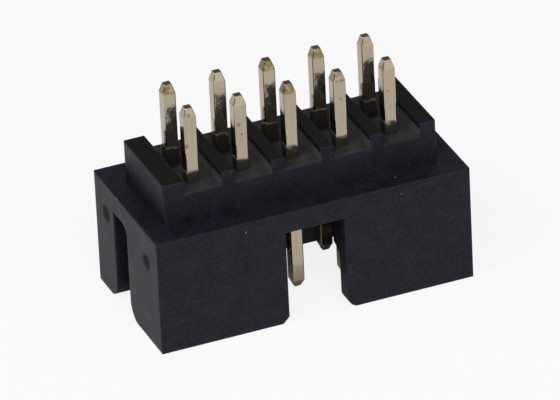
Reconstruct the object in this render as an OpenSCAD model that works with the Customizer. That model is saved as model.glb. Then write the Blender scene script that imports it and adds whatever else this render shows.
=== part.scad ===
// Two-row shrouded box header for ribbon cable plugs, with straight solder tails.
// It stands on its mating rim with the tails up. X runs along the rows, the side
// with the key slot faces -Y, and the origin is at the middle of the rim.
// All sizes are in millimetres.

/* [Contacts] */
// Contacts in each of the two rows
columns = 5; // [3:1:20]
// Distance between neighbouring contacts, along and across the rows
pitch = 2.0; // [1.9:0.05:2.1]
// Side of the square pin
pin_side = 0.5; // [0.44:0.01:0.54]
// Radius along the pin's four long edges
pin_edge_r = 0.04; // [0.02:0.01:0.06]
// Side of the small flat on each end of a pin
pin_tip_side = 0.28; // [0.16:0.01:0.34]
// Length of the taper on the solder tail
tail_taper = 0.4; // [0.2:0.05:0.8]
// Length of the taper on the mating end
mating_taper = 0.3; // [0.2:0.05:0.8]
// Height of the tails above the ribs that rest on the board
tail_length = 2.55; // [1.6:0.01:4]
// Distance of the mating ends behind the rim
tip_recess = 0.23; // [0.1:0.01:0.8]

/* [Shroud] */
// Distance from the last contact to the shroud's end face
shroud_end = 2.32; // [2.2:0.01:3]
// Width of the shroud across the rows
shroud_w = 6.3; // [6:0.05:6.6]
// Height of the shroud from its rim to the ledge
shroud_h = 4.7; // [4.6:0.05:5.5]
// Thickness of the four walls
wall = 1.2; // [1:0.05:1.2]
// Depth of the plug's cavity
cavity_depth = 3.86; // [3.6:0.02:4]
// Radius of the cavity's upright corners
cavity_corner_r = 0.25; // [0.1:0.05:0.5]
// Height and width of the chamfer round the mouth of the cavity
lead_in = 0.05; // [0.02:0.01:0.3]
// Radius of the upright outer corners
corner_r = 0.06; // [0.05:0.01:0.3]
// Radius along the other outer edges
edge_r = 0.03; // [0.02:0.01:0.05]

/* [Key slot] */
// Width of the slot for the plug's key
key_w = 2.38; // [2:0.02:2.6]
// Radius of the slot's mouth on the +X side
key_mouth_r = 0.46; // [0.2:0.02:0.8]
// Chamfer of the slot's mouth on the -X side
key_mouth_chamfer = 0.27; // [0.1:0.01:0.5]
// Thickness left at the slot's sides where they are relieved inside
key_land = 0.64; // [0.3:0.02:0.9]
// Height of that relief above the rim, at its outer end
key_relief_h = 2.08; // [1:0.02:2.6]
// Rise of the relief's ceiling towards the cavity
key_relief_rise = 0.22; // [0:0.02:0.4]

/* [End slots] */
// Width of the slot in each end wall
end_slot_w = 1.32; // [0.8:0.01:1.6]
// Distance of the slot's middle behind the middle of the end wall
end_slot_offset = 0.6; // [0:0.01:0.65]
// Radius of both corners at the slot's mouth
end_mouth_r = 0.75; // [0.2:0.05:0.75]
// Radius of the slot's inner corner on the key side
end_corner_r = 0.45; // [0.1:0.05:0.6]

/* [Sink marks] */
// Depth of the shallow sink marks on the end faces
sink_depth = 0.05; // [0.01:0.005:0.06]
// Radius of their rims
sink_r = 0.42; // [0.2:0.01:0.6]
// Distance from the middle of the end face to each mark
sink_offset = 2.0; // [1.8:0.05:2.2]
// Height of the marks above the rim
sink_z = 3.4; // [2.5:0.1:3.6]

/* [Plinth] */
// Distance from the last contact to the plinth's end face
plinth_end = 1.5; // [1.2:0.01:1.6]
// Width of the plinth across the rows
plinth_w = 3.9; // [3.6:0.05:4.4]
// Height of the plinth above the ledge
plinth_h = 1.67; // [1.2:0.01:2.5]
// Depth of the cross groove at each pair of tails
groove_depth = 0.55; // [0.2:0.01:0.8]
// Distance from the middle of the tails to the groove's wall towards +X
groove_right = 0.85; // [0.5:0.01:0.9]
// Distance from the middle of the tails to the groove's wall towards -X
groove_left = 0.65; // [0.5:0.01:0.9]
// Width of the chamfer along the top of both walls
groove_chamfer = 0.03; // [0.01:0.01:0.05]
// Width of the pocket in the groove's floor, ahead of each tail in the back row
pocket_w = 0.64; // [0.6:0.02:1]
// Length of that pocket from the tail's front face towards -Y
pocket_l = 0.64; // [0.2:0.02:1]
// Depth of that pocket below the groove's floor
pocket_depth = 0.3; // [0.1:0.05:0.6]

/* [Hidden] */
rows = 2;
pin_count = rows * columns;
shroud_l = (columns - 1) * pitch + 2 * shroud_end;
plinth_l = (columns - 1) * pitch + 2 * plinth_end;
board_z = shroud_h + plinth_h;
tail_z = board_z + tail_length;
cavity_l = shroud_l - 2 * wall;
cavity_w = shroud_w - 2 * wall;
sink_sphere_r = (sink_r * sink_r + sink_depth * sink_depth) / (2 * sink_depth);
clear = 1; // how far each cutting shape runs past the surface that it opens
$fn = 48;

// Place of pin n: odd numbers along the key side, even numbers behind them.
function pin_x(n) = (floor((n - 1) / rows) - (columns - 1) / 2) * pitch;
function pin_y(n) = (n % rows == 1 ? -1 : 1) * pitch / 2;

// A rectangle about the origin with round corners.
module rounded_rect(l, w, r) {
    square([l - 2 * r, w], center = true);
    square([l, w - 2 * r], center = true);
    for (x = [-1, 1])
        for (y = [-1, 1])
            translate([x * (l / 2 - r), y * (w / 2 - r)]) circle(r);
}

// Extrudes an outline drawn in X and Z along Y, and one drawn in Y and Z along X.
module along_y(length) {
    rotate([90, 0, 0]) linear_extrude(length, center = true) children();
}
module along_x(length) {
    rotate([90, 0, 90]) linear_extrude(length, center = true) children();
}

// A block standing on z = 0 with all its edges rounded.
module eased_block(l, w, h, upright_r, flat_r) {
    intersection() {
        linear_extrude(h) rounded_rect(l, w, upright_r);
        along_y(w + clear) translate([0, h / 2]) rounded_rect(l, h, flat_r);
        along_x(l + clear) translate([0, h / 2]) rounded_rect(w, h, flat_r);
    }
}

// What a rounded mouth takes away beside a slot's edge, in the +X +Y quarter.
module mouth_round(r) {
    difference() {
        square(r);
        translate([r, r]) circle(r);
    }
}

// The cavity that takes the plug, with a chamfered mouth.
module cavity() {
    translate([0, 0, -clear])
        linear_extrude(cavity_depth + clear) rounded_rect(cavity_l, cavity_w, cavity_corner_r);
    intersection() {
        along_y(shroud_w) flared_mouth(cavity_l);
        along_x(shroud_l) flared_mouth(cavity_w);
    }
}
module flared_mouth(w) {
    polygon([
        [-w / 2 - lead_in - clear, -clear],
        [w / 2 + lead_in + clear, -clear],
        [w / 2 - clear, lead_in + clear],
        [-w / 2 + clear, lead_in + clear],
    ]);
}

// The slot for the plug's key, and the relief inside its two sides.
module key_slot() {
    relief = wall - key_land;
    translate([0, -shroud_w / 2, 0])
        along_y(2 * wall + cavity_corner_r) {
            translate([-key_w / 2, -clear]) square([key_w, cavity_depth + clear]);
            translate([key_w / 2, 0]) mouth_round(key_mouth_r);
            polygon([
                [-key_w / 2, key_mouth_chamfer],
                [-key_w / 2 - key_mouth_chamfer, 0],
                [-key_w / 2, 0],
            ]);
        }
    translate([0, -shroud_w / 2 + wall, 0])
        intersection() {
            translate([0, 0, -clear])
                linear_extrude(cavity_depth + clear)
                    polygon([
                        [-key_w / 2, -relief],
                        [key_w / 2, -relief],
                        [key_w / 2 + relief, 0],
                        [-key_w / 2 - relief, 0],
                    ]);
            along_x(key_w + 2 * wall)
                polygon([
                    [-relief, -clear],
                    [0, -clear],
                    [0, key_relief_h + key_relief_rise],
                    [-relief, key_relief_h],
                ]);
        }
}

// The slot through an end wall, drawn round the middle of the wall.
module end_slot() {
    front = end_slot_offset - end_slot_w / 2;
    back = end_slot_offset + end_slot_w / 2;
    along_x(2 * wall) {
        translate([front, -clear]) square([end_slot_w, cavity_depth - end_corner_r + clear]);
        translate([front + end_corner_r, -clear])
            square([end_slot_w - end_corner_r, cavity_depth + clear]);
        translate([front + end_corner_r, cavity_depth - end_corner_r]) circle(end_corner_r);
        translate([back, 0]) mouth_round(end_mouth_r);
        translate([front, 0]) mirror([1, 0]) mouth_round(end_mouth_r);
    }
}

// The groove across the plinth that lets solder flux and wash escape.
module groove() {
    along_y(plinth_w + clear)
        translate([0, board_z])
            polygon([
                [-groove_left, -groove_depth],
                [groove_right, -groove_depth],
                [groove_right, -groove_chamfer],
                [groove_right + groove_chamfer + clear, clear],
                [-groove_left - groove_chamfer - clear, clear],
                [-groove_left, -groove_chamfer],
            ]);
}

// The pocket in the groove's floor ahead of a tail, run on past the tail's rounded edges.
module pocket() {
    floor_z = board_z - groove_depth - pocket_depth;
    translate([-pocket_w / 2, -pin_side / 2 - pocket_l, floor_z])
        cube([pocket_w, pocket_l + 2 * pin_edge_r, pocket_depth + clear]);
}

module sink_mark() {
    translate([sink_sphere_r - sink_depth, 0, 0]) sphere(sink_sphere_r);
}

// The outline of a pin seen from the side, about its own middle line.
module pin_outline() {
    polygon([
        [-pin_tip_side / 2, tip_recess],
        [pin_tip_side / 2, tip_recess],
        [pin_side / 2, tip_recess + mating_taper],
        [pin_side / 2, tail_z - tail_taper],
        [pin_tip_side / 2, tail_z],
        [-pin_tip_side / 2, tail_z],
        [-pin_side / 2, tail_z - tail_taper],
        [-pin_side / 2, tip_recess + mating_taper],
    ]);
}

module housing() {
    color("#1d1f23")
        difference() {
            union() {
                eased_block(shroud_l, shroud_w, shroud_h, corner_r, edge_r);
                translate([0, 0, cavity_depth])
                    eased_block(plinth_l, plinth_w, board_z - cavity_depth, corner_r, edge_r);
            }
            cavity();
            key_slot();
            for (side = [-1, 1])
                translate([side * shroud_l / 2, 0, 0]) end_slot();
            for (n = [1 : rows : pin_count])
                translate([pin_x(n), 0, 0]) groove();
            for (n = [1 : pin_count])
                translate([pin_x(n), pin_y(n), cavity_depth - clear])
                    linear_extrude(board_z) rounded_rect(pin_side, pin_side, pin_edge_r);
            for (n = [rows : rows : pin_count])
                translate([pin_x(n), pin_y(n), 0]) pocket();
            for (turn = [0, 180])
                for (y = [-sink_offset, sink_offset])
                    rotate([0, 0, turn])
                        translate([shroud_l / 2, y, sink_z]) sink_mark();
        }
}

module pin(n) {
    color("#b5aa96")
        translate([pin_x(n), pin_y(n), 0])
            intersection() {
                linear_extrude(tail_z) rounded_rect(pin_side, pin_side, pin_edge_r);
                along_y(pitch) pin_outline();
                along_x(pitch) pin_outline();
            }
}

housing();
for (n = [1 : pin_count])
    pin(n);
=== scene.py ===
# %% [markdown]
# # A box header for a ribbon cable plug
#
# The part is a black moulded housing with ten square plated pins, seen upside
# down: it stands on the rim that takes the plug, with its solder tails up. The
# shapes were drawn in CAD first. This lesson loads them, gives the housing its
# moulded finish, makes the ten pins again with the small faults that real
# cropped wire has, and lights everything on a sheet of white paper.

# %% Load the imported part
import math
import bpy
import bmesh
from mathutils import Matrix, Vector


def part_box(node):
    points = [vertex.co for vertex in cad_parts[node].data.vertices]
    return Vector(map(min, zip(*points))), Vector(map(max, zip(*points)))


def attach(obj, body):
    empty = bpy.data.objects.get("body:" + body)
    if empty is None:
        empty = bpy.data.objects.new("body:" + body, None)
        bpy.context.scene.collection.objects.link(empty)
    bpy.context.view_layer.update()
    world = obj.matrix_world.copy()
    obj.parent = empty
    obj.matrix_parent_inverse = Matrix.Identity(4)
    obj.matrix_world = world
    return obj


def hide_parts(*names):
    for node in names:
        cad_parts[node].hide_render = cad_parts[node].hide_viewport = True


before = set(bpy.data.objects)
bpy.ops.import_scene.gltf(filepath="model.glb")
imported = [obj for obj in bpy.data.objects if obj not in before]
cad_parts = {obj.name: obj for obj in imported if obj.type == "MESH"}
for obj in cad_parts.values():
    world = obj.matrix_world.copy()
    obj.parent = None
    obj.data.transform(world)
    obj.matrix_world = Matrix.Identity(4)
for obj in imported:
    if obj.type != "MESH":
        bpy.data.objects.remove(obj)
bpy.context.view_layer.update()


# %% [markdown]
# ## Three small helpers
#
# The drawing is in metres, but a connector is easier to think of in
# millimetres, so `MM` turns one into the other. Colours are written as the hex
# values that a paint program shows. The renderer works with linear light, so
# one function converts them. Another adds one node to a material, with its
# settings and whatever is plugged into it.

# %% Helpers
MM = 0.001


def linear(hex_colour):
    channels = [int(hex_colour[i:i + 2], 16) / 255 for i in (1, 3, 5)]
    return [c / 12.92 if c < 0.04045 else ((c + 0.055) / 1.055) ** 2.4 for c in channels] + [1.0]


def add_node(tree, kind, inputs, **settings):
    node = tree.nodes.new(kind)
    for name, value in settings.items():
        setattr(node, name, value)
    for name, value in inputs.items():
        if isinstance(value, bpy.types.NodeSocket):
            tree.links.new(value, node.inputs[name])
        else:
            node.inputs[name].default_value = value
    return node


print("mid grey #808080 is", round(linear("#808080")[0], 3), "in linear light")

# %% [markdown]
# ## The camera
#
# A small part looks best from well back, through a long lens, so that parallel
# edges stay almost parallel. The camera stands about 31 cm away, a little to
# the left of the key slot and 30 degrees up, and is rolled by a few degrees.
# Its three directions come from those angles.

# %% Camera
CAMERA_RIGHT, CAMERA_UP, CAMERA_BACK = -0.25, 2.909, 313.1


def aim(azimuth, elevation, roll):
    ca, sa = math.cos(azimuth), math.sin(azimuth)
    forward = Vector((sa * math.cos(elevation), ca * math.cos(elevation), -math.sin(elevation)))
    right = Vector((ca, -sa, 0))
    up = right.cross(forward)
    turned_right = math.cos(roll) * right + math.sin(roll) * up
    return turned_right, turned_right.cross(forward), forward


right, up, forward = aim(math.radians(21.375), math.radians(29.847), math.radians(-2.835))
place = (right * CAMERA_RIGHT + up * CAMERA_UP - forward * CAMERA_BACK) * MM
camera = bpy.data.objects.new("camera", bpy.data.cameras.new("camera"))
camera.matrix_world = Matrix.Translation(place) @ (
    Matrix((right, up, -forward)).transposed().to_4x4())
camera.data.sensor_width = 36
camera.data.lens = 534.4
camera.data.clip_start = 0.01
bpy.context.scene.collection.objects.link(camera)
bpy.context.scene.camera = camera
bpy.context.scene.view_settings.view_transform = "Standard"
print("camera stands at", [round(v / MM) for v in camera.location], "mm")

# %% [markdown]
# ## The sheet of paper
#
# The header stands on matt white paper. A real background is often lit on its
# own until it is pure white, so part of what the camera sees is a plain glow.
# The plated pins show the same bright paper, so glossy rays get some of it too.
# The shroud keeps the light off the patch of paper that it stands round, so
# that patch has a second material, whose glow only the camera sees. The sheet
# is one grid of faces, cut along the four lines of the shroud. It lies a
# hundredth of a millimetre below the rim, so that the two never share a plane.

# %% Paper
def white_paper(name, camera_glow, glossy_glow):
    material = bpy.data.materials.new(name)
    material.use_nodes = True
    tree = material.node_tree
    tree.nodes.clear()
    path = add_node(tree, "ShaderNodeLightPath", {})
    mirrored = add_node(tree, "ShaderNodeMath", {
        0: path.outputs["Is Glossy Ray"], 1: path.outputs["Is Transmission Ray"]}, operation="ADD")
    weak = add_node(tree, "ShaderNodeMath", {
        0: mirrored.outputs[0], 1: glossy_glow}, operation="MULTIPLY")
    share = add_node(tree, "ShaderNodeMath", {
        0: path.outputs["Is Camera Ray"], 1: camera_glow, 2: weak.outputs[0]},
        operation="MULTIPLY_ADD")
    matt = add_node(tree, "ShaderNodeBsdfDiffuse", {"Color": linear("#e6e6e4")})
    glow = add_node(tree, "ShaderNodeEmission", {"Color": (1, 1, 1, 1), "Strength": 1.0})
    mix = add_node(tree, "ShaderNodeMixShader", {
        0: share.outputs[0], 1: matt.outputs[0], 2: glow.outputs[0]})
    add_node(tree, "ShaderNodeOutputMaterial", {"Surface": mix.outputs[0]})
    return material


PAPER_HALF_SIZE = 300 * MM
PAPER_DROP = 0.01 * MM

low, high = [Vector(corner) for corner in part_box("housing")]
bm = bmesh.new()
bmesh.ops.create_grid(bm, x_segments=1, y_segments=1, size=PAPER_HALF_SIZE)
bmesh.ops.translate(bm, verts=bm.verts, vec=(0, 0, -PAPER_DROP))
for corner, axis in ((low, 0), (high, 0), (low, 1), (high, 1)):
    normal = [0, 0, 0]
    normal[axis] = 1
    bmesh.ops.bisect_plane(bm, geom=bm.verts[:] + bm.edges[:] + bm.faces[:],
                           plane_co=(corner[0], corner[1], 0), plane_no=normal)
for face in bm.faces:
    middle = face.calc_center_median()
    face.material_index = int(low.x < middle.x < high.x and low.y < middle.y < high.y)
paper_mesh = bpy.data.meshes.new("paper")
bm.to_mesh(paper_mesh)
bm.free()
paper_mesh.materials.append(white_paper("white_paper", camera_glow=0.85, glossy_glow=0.5))
paper_mesh.materials.append(
    white_paper("white_paper_in_the_shroud", camera_glow=0.85, glossy_glow=0.0))
paper = bpy.data.objects.new("paper", paper_mesh)
bpy.context.scene.collection.objects.link(paper)
print("paper has", len(paper_mesh.polygons), "faces, one of them inside the shroud")

# %% [markdown]
# ## Soft boxes
#
# Black plastic shows its shape by what it mirrors, so the lamps are large and
# soft. The stronger one stands in front and the other on the left. A weak card,
# low in front, is what the tapers of the pins mirror. The far side stays dim,
# which keeps the upward faces of the housing dark. `soft_box` makes one square
# lamp that looks at the part.

# %% Lamps and room
def soft_box(name, place, size, power, tint):
    lamp = bpy.data.lights.new(name, "AREA")
    lamp.shape = "SQUARE"
    lamp.size = size * MM
    lamp.energy = power
    lamp.color = linear(tint)[:3]
    holder = bpy.data.objects.new(name, lamp)
    holder.location = Vector(place) * MM
    holder.rotation_euler = Vector(place).to_track_quat("Z", "Y").to_euler()
    bpy.context.scene.collection.objects.link(holder)
    print(name, "at", place, "mm,", size, "mm wide,", power, "W")


soft_box("front_box", (-60, -220, 180), size=200, power=0.62, tint="#fbfcff")
soft_box("left_box", (-190, -60, 200), size=160, power=0.3, tint="#f4f7ff")
soft_box("low_front_card", (87, -255, 62), size=150, power=0.06, tint="#fff6f0")
world = bpy.data.worlds.new("dim_room")
bpy.context.scene.world = world
world.use_nodes = True
room = world.node_tree.nodes["Background"]
room.inputs["Color"].default_value = linear("#8c8c90")
room.inputs["Strength"].default_value = 1.0

# %% [markdown]
# ## Black moulded plastic
#
# The housing is glass-filled polyester (PBT), injected into a steel mould. Such
# a plastic is coloured deep black all through. Its skin copies the spark-eroded
# steel: a fine, even grain that spreads reflections but doesn't hide them, so a
# face that looks along the bright paper turns grey and one that looks at the
# dim room stays black. This first cell only makes the material, the position in
# millimetres and its distances from the middle, which the later cells need.

# %% Material and places on the housing
plastic = bpy.data.materials.new("spark_grained_black_pbt")
plastic.use_nodes = True
tree = plastic.node_tree
skin = tree.nodes["Principled BSDF"]
skin.inputs["Metallic"].default_value = 0.0
skin.inputs["IOR"].default_value = 1.57
skin.inputs["Specular IOR Level"].default_value = 0.12

PER_METRE = (1000, 1000, 1000)
LEDGE_Z, RIB_Z, WEB_Z = 4.7, 6.37, 3.95

place = add_node(tree, "ShaderNodeTexCoord", {})
in_mm = add_node(tree, "ShaderNodeMapping", {
    "Vector": place.outputs["Object"], "Scale": PER_METRE})
xyz = add_node(tree, "ShaderNodeSeparateXYZ", {0: in_mm.outputs[0]})
far_x = add_node(tree, "ShaderNodeMath", {0: xyz.outputs["X"]}, operation="ABSOLUTE")
far_y = add_node(tree, "ShaderNodeMath", {0: xyz.outputs["Y"]}, operation="ABSOLUTE")
true_shape = add_node(tree, "ShaderNodeNewGeometry", {})


def within(half_x, half_y):
    near_x = add_node(tree, "ShaderNodeMath", {
        0: far_x.outputs[0], 1: half_x}, operation="LESS_THAN")
    near_y = add_node(tree, "ShaderNodeMath", {
        0: far_y.outputs[0], 1: half_y}, operation="LESS_THAN")
    return add_node(tree, "ShaderNodeMath", {
        0: near_x.outputs[0], 1: near_y.outputs[0]}, operation="MULTIPLY")


print("ledge at", LEDGE_Z, "mm, rib tops at", RIB_Z, "mm")

# %% [markdown]
# A mould is never quite sharp, so its edges catch a thin light. The Bevel node
# rounds the shading of every edge by about an eighth of a millimetre. It would
# do so in the inner corner between plinth and ledge as well, where the real
# part is sharp and dark, so there the true normal is used. On top lies the
# grain. The real one is about 0.03 mm, which is less than the camera can show,
# so it is drawn at 0.09 mm.

# %% Soft edges and grain
EDGE_RADIUS = 0.13
GRAIN_SIZE, GRAIN_HEIGHT = 0.09, 0.012
FLOW_SIZE = 0.8

eased = add_node(tree, "ShaderNodeBevel", {"Radius": EDGE_RADIUS * MM}, samples=8)
by_ledge = add_node(tree, "ShaderNodeMath", {
    0: xyz.outputs["Z"], 1: LEDGE_Z, 2: 0.2}, operation="COMPARE")
inner_corner = add_node(tree, "ShaderNodeMath", {
    0: within(6.1, 2.9).outputs[0], 1: by_ledge.outputs[0]}, operation="MULTIPLY")
shape = add_node(tree, "ShaderNodeMix", {
    "Factor": inner_corner.outputs[0], "A": eased.outputs[0], "B": true_shape.outputs["Normal"]},
    data_type="VECTOR")
grain = add_node(tree, "ShaderNodeTexNoise", {
    "Vector": in_mm.outputs[0], "Scale": 1 / GRAIN_SIZE, "Detail": 2.0})
bumps = add_node(tree, "ShaderNodeBump", {
    "Height": grain.outputs["Fac"], "Strength": 0.6, "Distance": GRAIN_HEIGHT * MM,
    "Normal": shape.outputs[1]})
tree.links.new(bumps.outputs[0], skin.inputs["Normal"])
print("edges rounded by", EDGE_RADIUS, "mm, grain drawn at", GRAIN_SIZE, "mm")

# %% [markdown]
# Glass fibres and pigment aren't spread quite evenly by the melt. Slow flow
# marks nearly a millimetre wide and fine speckle move the black a little
# between two tones, and the flow marks move the gloss as well.

# %% Flow marks and speckle
flow = add_node(tree, "ShaderNodeTexNoise", {
    "Vector": in_mm.outputs[0], "Scale": 1 / FLOW_SIZE, "Detail": 3.0})
gloss = add_node(tree, "ShaderNodeMapRange", {
    "Value": flow.outputs["Fac"], "From Min": 0.3, "From Max": 0.7, "To Min": 0.43, "To Max": 0.5})
speckle = add_node(tree, "ShaderNodeTexNoise", {
    "Vector": in_mm.outputs[0], "Scale": 1 / 0.13, "Detail": 2.0})
speckled = add_node(tree, "ShaderNodeMapRange", {
    "Value": speckle.outputs["Fac"], "From Min": 0.25, "From Max": 0.75,
    "To Min": -0.36, "To Max": 0.36})
shade = add_node(tree, "ShaderNodeMath", {
    0: flow.outputs["Fac"], 1: speckled.outputs[0]}, operation="ADD", use_clamp=True)
black = add_node(tree, "ShaderNodeMix", {
    "Factor": shade.outputs[0], "A": linear("#0a0c11"), "B": linear("#20222a")}, data_type="RGBA")
print("flow marks of", FLOW_SIZE, "mm, speckle of 0.13 mm")

# %% [markdown]
# ## Dust, painted light and painted shade on the skin
#
# Nobody washes a connector. Flux smoke and dust lie in the grooves round the
# tails as a thin, patchy, brownish film. Its pale colour is also painted light
# that lifts the shade of the grooves, and it is paler still on their walls, as
# painted light there. The tops of the ribs are painted blackest, as painted
# shade, because they catch more light than the grooves. The walls of the cavity
# are painted paler, as painted light in their deep shade. Each of these is found
# by place, as a share from 0 to 1.

# %% Where the dust, the painted light and the painted shade lie
on_plinth = within(5.47, 1.93)
in_groove = add_node(tree, "ShaderNodeMath", {
    0: xyz.outputs["Z"], 1: 5.7, 2: 0.42}, operation="COMPARE")
# The film share marks the grooves, where dust and painted light lie.
film = add_node(tree, "ShaderNodeMath", {
    0: in_groove.outputs[0], 1: on_plinth.outputs[0]}, operation="MULTIPLY")
patches = add_node(tree, "ShaderNodeTexNoise", {
    "Vector": in_mm.outputs[0], "Scale": 1 / 0.35, "Detail": 4.0})
patchy = add_node(tree, "ShaderNodeMapRange", {
    "Value": patches.outputs["Fac"], "From Min": 0.3, "From Max": 0.7,
    "To Min": 0.55, "To Max": 1.0})
groove_dust_and_painted_light = add_node(tree, "ShaderNodeMath", {
    0: film.outputs[0], 1: patchy.outputs[0]}, operation="MULTIPLY")
# Rib tops: painted shade, darker because they catch more light than the grooves.
at_rib_height = add_node(tree, "ShaderNodeMath", {
    0: xyz.outputs["Z"], 1: RIB_Z, 2: 0.035}, operation="COMPARE")
rib_top = add_node(tree, "ShaderNodeMath", {
    0: at_rib_height.outputs[0], 1: on_plinth.outputs[0]}, operation="MULTIPLY")
# Groove walls: painted light, paler than the floor of the grooves.
facing = add_node(tree, "ShaderNodeSeparateXYZ", {0: true_shape.outputs["Normal"]})
sideways = add_node(tree, "ShaderNodeMath", {0: facing.outputs["X"]}, operation="ABSOLUTE")
upright = add_node(tree, "ShaderNodeMath", {
    0: sideways.outputs[0], 1: 0.7}, operation="GREATER_THAN")
groove_wall = add_node(tree, "ShaderNodeMath", {
    0: upright.outputs[0], 1: film.outputs[0]}, operation="MULTIPLY")
# Cavity walls below the web: painted light in their deep shade.
below_web = add_node(tree, "ShaderNodeMath", {0: xyz.outputs["Z"], 1: WEB_Z}, operation="LESS_THAN")
cavity = add_node(tree, "ShaderNodeMath", {
    0: within(5.16, 1.98).outputs[0], 1: below_web.outputs[0]}, operation="MULTIPLY")
print("film in the grooves, dust in the cavity below", WEB_Z, "mm")

# %% [markdown]
# The sink marks are shallow hollows on the ends, where the thick corners of the
# moulding shrank away from the steel. They never touched its grain while the
# plastic set, so they are duller. Their colour is painted darker as well, as
# painted shade of the hollow. Their share falls off with the distance from the
# middle of each hollow.

# %% Sink marks
SINK_Y, SINK_Z = 2.0, 3.4

on_end = add_node(tree, "ShaderNodeMath", {
    0: far_x.outputs[0], 1: 6.3, 2: 0.06}, operation="COMPARE")
y_off = add_node(tree, "ShaderNodeMath", {0: far_y.outputs[0], 1: SINK_Y}, operation="SUBTRACT")
z_off = add_node(tree, "ShaderNodeMath", {0: xyz.outputs["Z"], 1: SINK_Z}, operation="SUBTRACT")
across = add_node(tree, "ShaderNodeCombineXYZ", {0: y_off.outputs[0], 1: z_off.outputs[0]})
from_middle = add_node(tree, "ShaderNodeVectorMath", {0: across.outputs[0]}, operation="LENGTH")
in_hollow = add_node(tree, "ShaderNodeMapRange", {
    "Value": from_middle.outputs["Value"], "From Min": 0.4, "From Max": 0.2,
    "To Min": 0.0, "To Max": 0.7})
# The sink share makes the hollows duller and paints them darker, as painted shade.
sink = add_node(tree, "ShaderNodeMath", {
    0: in_hollow.outputs[0], 1: on_end.outputs[0]}, operation="MULTIPLY")
roughness = add_node(tree, "ShaderNodeMath", {
    0: sink.outputs[0], 1: 0.4, 2: gloss.outputs[0]}, operation="MULTIPLY_ADD")
tree.links.new(roughness.outputs[0], skin.inputs["Roughness"])
print("sink marks", SINK_Y, "mm from the middle,", SINK_Z, "mm up")

# %% [markdown]
# Every edge is painted a little paler, as a painted highlight. The edges are
# where the rounded normal of the Bevel node and the true one part company. A few
# specks of dust sit in the middle of the cells of a Voronoi pattern: the cell's
# random colour says whether it has one and how large it is, up to 0.05 mm.

# %% Painted edge highlights and specks
agree = add_node(tree, "ShaderNodeVectorMath", {
    0: shape.outputs[1], 1: true_shape.outputs["Normal"]}, operation="DOT_PRODUCT")
# Painted highlight: edges are coloured paler where the two normals part.
edge = add_node(tree, "ShaderNodeMapRange", {
    "Value": agree.outputs["Value"], "From Min": 0.97, "From Max": 0.8,
    "To Min": 0.0, "To Max": 0.35})
cells = add_node(tree, "ShaderNodeTexVoronoi", {
    "Vector": in_mm.outputs[0], "Scale": 1 / 0.9, "Randomness": 1.0})
chance = add_node(tree, "ShaderNodeSeparateXYZ", {0: cells.outputs["Color"]})
speck_size = add_node(tree, "ShaderNodeMapRange", {
    "Value": chance.outputs["X"], "From Min": 0.72, "From Max": 1.0,
    "To Min": 0.0, "To Max": 0.055})
speck = add_node(tree, "ShaderNodeMath", {
    0: cells.outputs["Distance"], 1: speck_size.outputs[0]}, operation="LESS_THAN")
speck_share = add_node(tree, "ShaderNodeMath", {0: speck.outputs[0], 1: 0.5}, operation="MULTIPLY")
print("about one cell in four holds a speck")

# %% [markdown]
# Now the colours are laid over one another, like coats: the black, the dust
# and painted light in the grooves, the painted shade on the rib tops, the
# painted light on the groove walls and in the cavity, the painted shade in the
# sink marks, the painted highlight on the edges and the specks. Each coat
# covers the one below by its share.

# %% Coats of colour
coats = (
    # dust and painted light in the grooves
    (groove_dust_and_painted_light, "#353431"),
    # painted shade on the rib tops
    (rib_top, "#0b0b0a"),
    # painted light on the groove walls
    (groove_wall, "#484745"),
    # painted light in the cavity
    (cavity, "#46464b"),
    # painted shade in the sink marks
    (sink, "#060608"),
    # painted highlight on the edges
    (edge, "#303136"),
    (speck_share, "#8e8f92"),
)
colour = black
for share, hex_colour in coats:
    colour = add_node(tree, "ShaderNodeMix", {
        "Factor": share.outputs[0], "A": colour.outputs[2], "B": linear(hex_colour)},
        data_type="RGBA")
tree.links.new(colour.outputs[2], skin.inputs["Base Color"])
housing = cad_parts["housing"]
housing.data.materials.clear()
housing.data.materials.append(plastic)
print(len(coats), "coats over the black")

# %% [markdown]
# ## Bright plating
#
# Such wire is phosphor bronze with a thin bright tin-nickel plating over it. It
# mirrors its surroundings almost like polished steel, but a little champagne
# coloured. Drawing leaves fine lines along the wire and slow unevenness across
# it, so the mirror image wavers. The lines are a noise stretched twenty times
# along the wire.

# %% Drawn lines and waves
LINES_ACROSS, LINES_ALONG = 14, 0.7
WAVE_SIZE = 0.5

plating = bpy.data.materials.new("bright_plated_bronze_wire")
plating.use_nodes = True
tree = plating.node_tree
shine = tree.nodes["Principled BSDF"]
place = add_node(tree, "ShaderNodeTexCoord", {})
in_mm = add_node(tree, "ShaderNodeMapping", {
    "Vector": place.outputs["Object"], "Scale": PER_METRE})
along = add_node(tree, "ShaderNodeMapping", {
    "Vector": place.outputs["Object"],
    "Scale": (LINES_ACROSS / MM, LINES_ACROSS / MM, LINES_ALONG / MM)})
drawn = add_node(tree, "ShaderNodeTexNoise", {
    "Vector": along.outputs[0], "Scale": 1.0, "Detail": 3.0})
wavy = add_node(tree, "ShaderNodeTexNoise", {
    "Vector": in_mm.outputs[0], "Scale": 1 / WAVE_SIZE, "Detail": 2.0})
waves = add_node(tree, "ShaderNodeBump", {
    "Height": wavy.outputs["Fac"], "Strength": 1.0, "Distance": 0.012 * MM})
lines = add_node(tree, "ShaderNodeBump", {
    "Height": drawn.outputs["Fac"], "Strength": 0.4, "Distance": 0.003 * MM,
    "Normal": waves.outputs[0]})
tree.links.new(lines.outputs[0], shine.inputs["Normal"])
xyz_of_wire = add_node(tree, "ShaderNodeSeparateXYZ", {0: in_mm.outputs[0]})
print(LINES_ACROSS, "drawn lines to the millimetre, waves of", WAVE_SIZE, "mm")

# %% [markdown]
# The tapers are pressed after plating, which thins it and lets the warm bronze
# show through in patches. How much differs from pin to pin, so each pin's mesh
# carries the share in an attribute, `warm_tint`, on the points of its tapers.

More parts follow.
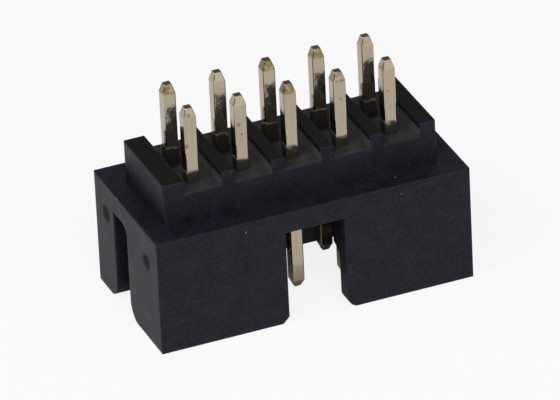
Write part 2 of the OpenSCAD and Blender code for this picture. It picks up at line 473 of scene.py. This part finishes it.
# %% Champagne plating and warm tapers
tint = add_node(tree, "ShaderNodeAttribute", {}, attribute_name="warm_tint")
champagne = add_node(tree, "ShaderNodeMix", {
    "Factor": drawn.outputs["Fac"], "A": linear("#ab9e88"), "B": linear("#bfb29c")},
    data_type="RGBA")
mottle = add_node(tree, "ShaderNodeTexNoise", {
    "Vector": in_mm.outputs[0], "Scale": 1 / 0.16, "Detail": 3.0})
mottled = add_node(tree, "ShaderNodeMapRange", {
    "Value": mottle.outputs["Fac"], "From Min": 0.38, "From Max": 0.6,
    "To Min": 0.35, "To Max": 1.0})
tint_share = add_node(tree, "ShaderNodeMath", {
    0: tint.outputs["Fac"], 1: mottled.outputs[0]}, operation="MULTIPLY")
pressed = add_node(tree, "ShaderNodeMix", {
    "Factor": tint_share.outputs[0], "A": champagne.outputs[2], "B": linear("#77683f")},
    data_type="RGBA")
print("warm patches of 0.16 mm on the tapers")

# %% [markdown]
# The foot of each tail is painted dark olive, as a painted reflection of the
# groove floor that the plating mirrors there. It is found by height: it starts
# at the groove's floor and ends about 0.4 mm higher, along a wavy line. It isn't
# metal, so it takes the metallic value down with it.

# %% Painted reflection at the foot of the tails
# Painted reflection: the foot of each tail is coloured dark olive for the groove floor it mirrors.
wavy_height = add_node(tree, "ShaderNodeMath", {
    0: wavy.outputs["Fac"], 1: 0.5, 2: xyz_of_wire.outputs["Z"]}, operation="MULTIPLY_ADD")
foot_reflection_height = add_node(tree, "ShaderNodeMapRange", {
    "Value": wavy_height.outputs[0], "From Min": 6.6, "From Max": 6.48,
    "To Min": 0.0, "To Max": 0.98})
above_ledge = add_node(tree, "ShaderNodeMath", {
    0: xyz_of_wire.outputs["Z"], 1: LEDGE_Z}, operation="GREATER_THAN")
painted_foot_reflection = add_node(tree, "ShaderNodeMath", {
    0: foot_reflection_height.outputs[0], 1: above_ledge.outputs[0]}, operation="MULTIPLY")
# mix the painted reflection into the plating colour
with_foot_reflection = add_node(tree, "ShaderNodeMix", {
    "Factor": painted_foot_reflection.outputs[0], "A": pressed.outputs[2], "B": linear("#15140e")},
    data_type="RGBA")
unpainted_metal = add_node(tree, "ShaderNodeMath", {0: 1.0, 1: painted_foot_reflection.outputs[0]}, operation="SUBTRACT")
tree.links.new(unpainted_metal.outputs[0], shine.inputs["Metallic"])
print("film up to about 6.25 mm")

# %% [markdown]
# Handling has left small brown spots. They are a list of places and radii in
# millimetres, each one a soft ball of stain around a point on a face. The
# painted foot and the spots are rougher than the clean plating.

# %% Brown spots
spots = (
    (-4.2, -1.25, 7.37, 0.13), (-1.98, -1.25, 7.33, 0.07), (-2.1, -1.25, 7.75, 0.12),
    (2.02, -1.25, 7.8, 0.07), (2.1, -1.25, 8.57, 0.09), (3.91, -1.25, 7.65, 0.06),
    (3.76, -1.2, 8.57, 0.1), (-4.05, -1.2, 8.62, 0.12),
)
stains = None
for x, y, z, radius in spots:
    away = add_node(tree, "ShaderNodeVectorMath", {
        0: in_mm.outputs[0], 1: (x, y, z)}, operation="DISTANCE")
    spot = add_node(tree, "ShaderNodeMapRange", {
        "Value": away.outputs["Value"], "From Min": radius, "From Max": radius * 0.3,
        "To Min": 0.0, "To Max": 0.6})
    stains = spot if stains is None else add_node(tree, "ShaderNodeMath", {
        0: stains.outputs[0], 1: spot.outputs[0]}, operation="MAXIMUM")
spotted = add_node(tree, "ShaderNodeMix", {
    "Factor": stains.outputs[0], "A": with_foot_reflection.outputs[2], "B": linear("#6b5334")},
    data_type="RGBA")
tree.links.new(spotted.outputs[2], shine.inputs["Base Color"])
worst = add_node(tree, "ShaderNodeMath", {
    0: painted_foot_reflection.outputs[0], 1: stains.outputs[0]}, operation="MAXIMUM")
dull = add_node(tree, "ShaderNodeMapRange", {
    "Value": worst.outputs[0], "To Min": 0.1, "To Max": 0.34})
tree.links.new(dull.outputs[0], shine.inputs["Roughness"])
print(len(spots), "brown spots on the tails")

# %% [markdown]
# The cropped ends are torn bronze without plating. They tarnish to a dark
# purplish brown, and the tear makes them rough.

# %% Cropped ends
cropped = bpy.data.materials.new("tarnished_cropped_bronze")
cropped.use_nodes = True
tree = cropped.node_tree
torn = tree.nodes["Principled BSDF"]
torn.inputs["Metallic"].default_value = 1.0
torn.inputs["Roughness"].default_value = 0.38
place = add_node(tree, "ShaderNodeTexCoord", {})
tear = add_node(tree, "ShaderNodeMapping", {
    "Vector": place.outputs["Object"], "Scale": (8000, 20000, 8000)})
tears = add_node(tree, "ShaderNodeTexNoise", {
    "Vector": tear.outputs[0], "Scale": 1.0, "Detail": 4.0})
brown = add_node(tree, "ShaderNodeMix", {
    "Factor": tears.outputs["Fac"], "A": linear("#665955"), "B": linear("#95887f")},
    data_type="RGBA")
tree.links.new(brown.outputs[2], torn.inputs["Base Color"])
rough = add_node(tree, "ShaderNodeBump", {
    "Height": tears.outputs["Fac"], "Strength": 0.6, "Distance": 0.01 * MM})
tree.links.new(rough.outputs[0], torn.inputs["Normal"])
print("tear marks 0.05 mm apart")

# %% [markdown]
# ## Drawn wire
#
# Each pin is square wire, drawn through a die, thinly plated, tapered between
# two dies at both ends and cropped. The helper for the tapers comes first: the
# end face of the wire is extruded and narrowed in three small steps, so the
# creases are soft like those of pressed metal. Each step is a rise and the side
# of the square that it ends in, in millimetres.

# %% Pressed tapers
TAIL_TAPER = ((0.03, 0.496), (0.32, 0.30), (0.05, 0.27))
MATING_TAPER = ((0.03, 0.495), (0.22, 0.30), (0.05, 0.27))


def press_taper(bm, direction, steps, tint, warm):
    end = max(bm.faces, key=lambda face: face.calc_center_median().z * direction)
    side = end.calc_area() ** 0.5
    for rise, next_side in steps:
        end = bmesh.ops.extrude_discrete_faces(bm, faces=[end])["faces"][0]
        bmesh.ops.translate(bm, verts=end.verts, vec=(0, 0, rise * direction))
        bmesh.ops.scale(bm, verts=end.verts, vec=(next_side / side, next_side / side, 1),
                        space=Matrix.Translation(-end.calc_center_median()))
        side = next_side
        for vert in end.verts:
            vert[warm] = tint


tail_taper_length = sum(rise for rise, side in TAIL_TAPER)
mating_taper_length = sum(rise for rise, side in MATING_TAPER)
print("tapers of", round(tail_taper_length, 2), "and", round(mating_taper_length, 2), "mm")

# %% [markdown]
# The wire itself is a short box whose four long edges are bevelled. A slanted
# cut finishes the tail, because shears never leave it quite square, and the
# hole that the cut leaves is filled. Flat faces stay flat, as a mirror must, and
# only the bevels are shaded smooth. The cropped ends get the second material.

# %% Shape of one wire
WIRE_SIDE, WIRE_EDGE = 0.5, 0.045
CROP = 0.018


def shape_wire(bm, low, high, tilt_x, tilt_y, tint):
    middle = (low + high) / 2
    warm = bm.verts.layers.float.new("warm_tint")
    bmesh.ops.create_cube(bm, size=1.0)
    foot = low.z + mating_taper_length
    shoulder = high.z - tail_taper_length
    bmesh.ops.scale(bm, verts=bm.verts, vec=(WIRE_SIDE, WIRE_SIDE, shoulder - foot))
    long_edges = [e for e in bm.edges if abs(e.verts[0].co.z - e.verts[1].co.z) > 1]
    bmesh.ops.bevel(bm, geom=long_edges, offset=WIRE_EDGE, segments=2, profile=0.5,
                    affect="EDGES", material=-1)
    bmesh.ops.translate(bm, verts=bm.verts, vec=(middle.x, middle.y, (shoulder + foot) / 2))
    press_taper(bm, 1, TAIL_TAPER, tint, warm)
    press_taper(bm, -1, MATING_TAPER, tint, warm)
    slant = Vector((math.sin(math.radians(tilt_x)), math.sin(math.radians(tilt_y)), 1))
    cut = bmesh.ops.bisect_plane(
        bm, geom=bm.verts[:] + bm.edges[:] + bm.faces[:], clear_outer=True,
        plane_co=(middle.x, middle.y, high.z - CROP), plane_no=slant.normalized())
    rim = [item for item in cut["geom_cut"] if isinstance(item, bmesh.types.BMEdge)]
    bmesh.ops.holes_fill(bm, edges=rim)
    bmesh.ops.recalc_face_normals(bm, faces=bm.faces)


def finish_faces(bm):
    for face in bm.faces:
        on_bevel = abs(face.normal.x * face.normal.y) > 0.05
        is_end = abs(face.normal.z) > 0.9 and face.calc_area() > 0.02
        face.smooth = on_bevel
        face.material_index = int(is_end)


print("wire", WIRE_SIDE, "mm square, cropped", CROP, "mm short")

# %% [markdown]
# The list gives each wire its own slant of the cut, in degrees about two axes,
# and its share of warm tint. Each finished piece replaces its pin of the CAD
# model, which is hidden, and rides on the body root.

# %% Ten cropped pins
wires = {
    "pin_1": (1.5, -1.0, 0.15), "pin_3": (-1.0, 1.5, 0.1), "pin_5": (0.5, -2.0, 0.9),
    "pin_7": (2.5, 1.0, 0.6), "pin_9": (-1.5, -1.0, 0.1), "pin_2": (-2.0, 0.5, 0.9),
    "pin_4": (1.0, 1.0, 0.1), "pin_6": (-0.5, -1.5, 1.0), "pin_8": (2.0, 0.0, 0.9),
    "pin_10": (0.5, 2.0, 0.3),
}


def square_wire(name, tilt_x, tilt_y, tint):
    low, high = [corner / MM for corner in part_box(name)]
    bm = bmesh.new()
    shape_wire(bm, low, high, tilt_x, tilt_y, tint)
    finish_faces(bm)
    bmesh.ops.scale(bm, verts=bm.verts, vec=(MM, MM, MM))
    mesh = bpy.data.meshes.new(name + "_wire")
    bm.to_mesh(mesh)
    bm.free()
    mesh.materials.append(plating)
    mesh.materials.append(cropped)
    piece = bpy.data.objects.new(name + "_wire", mesh)
    bpy.context.scene.collection.objects.link(piece)
    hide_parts(name)
    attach(piece, "root")
    return piece


pins = [square_wire(name, *wires[name]) for name in wires]
print(len(pins), "pins of", len(pins[0].data.polygons), "faces each")
